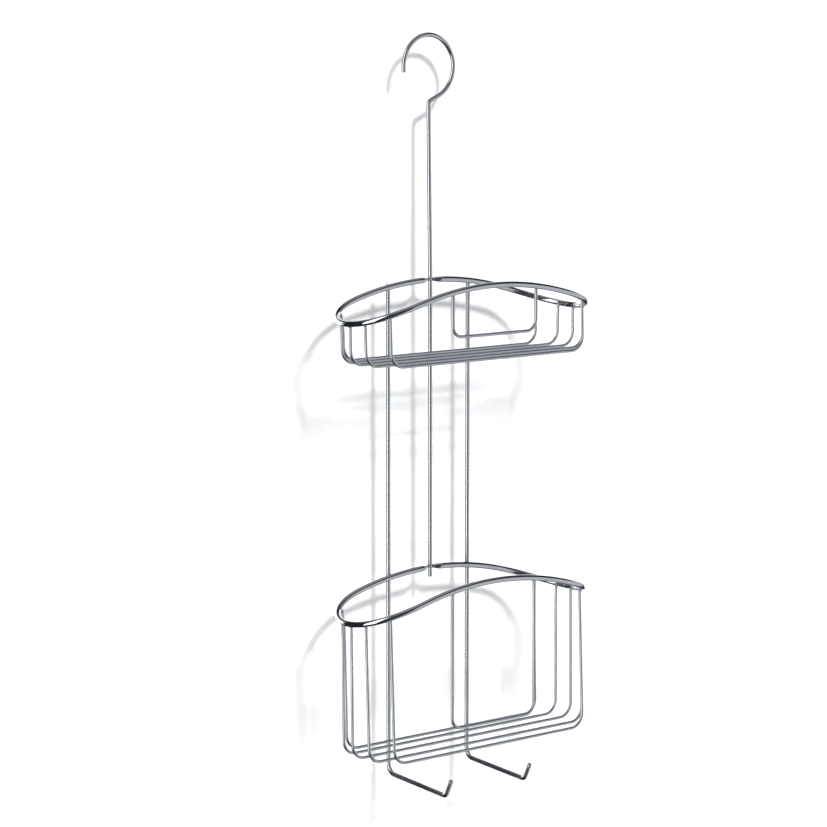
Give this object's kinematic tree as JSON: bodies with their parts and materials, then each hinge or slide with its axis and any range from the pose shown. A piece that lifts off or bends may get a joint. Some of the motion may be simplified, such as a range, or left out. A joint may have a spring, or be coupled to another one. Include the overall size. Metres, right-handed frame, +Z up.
{
  "type": "shower caddy",
  "caption": "Tall chromed wire caddy with a shallow upper basket, a deep lower basket, a round hook to hang it from a shower mixer connection, and towel hooks under the lower basket.",
  "frame": {"origin": "the underside of the top hook, in the middle of the wire, where the hook sits on the pipe that it hangs from", "axes": "+X along the wall to the right as seen from the room, +Y into the wall (the baskets stand out towards -Y), +Z up"},
  "size_m": [0.2536, 0.0957, 0.6439],
  "materials": {
    "frame_wire": "polished bright chrome plate on 4 mm round steel wire, soft small wear near the bends",
    "rim_wire": "polished bright chrome plate on 5 mm round steel wire",
    "basket_wire": "polished bright chrome plate on 2.6 mm round steel wire, slightly duller at the welds"
  },
  "bodies": {
    "root": {"hanger_hook": "frame_wire", "left_upright": "frame_wire", "right_upright": "frame_wire", "upper_rim": "rim_wire", "upper_wire_1": "basket_wire", "upper_wire_2": "basket_wire", "upper_wire_3": "basket_wire", "upper_wire_4": "basket_wire", "upper_wire_5": "basket_wire", "upper_guard": "basket_wire", "lower_rim": "rim_wire", "lower_wire_1": "basket_wire", "lower_wire_2": "basket_wire", "lower_wire_3": "basket_wire", "lower_wire_4": "basket_wire", "lower_wire_5": "basket_wire", "lower_guard": "basket_wire"}
  },
  "joints": []
}
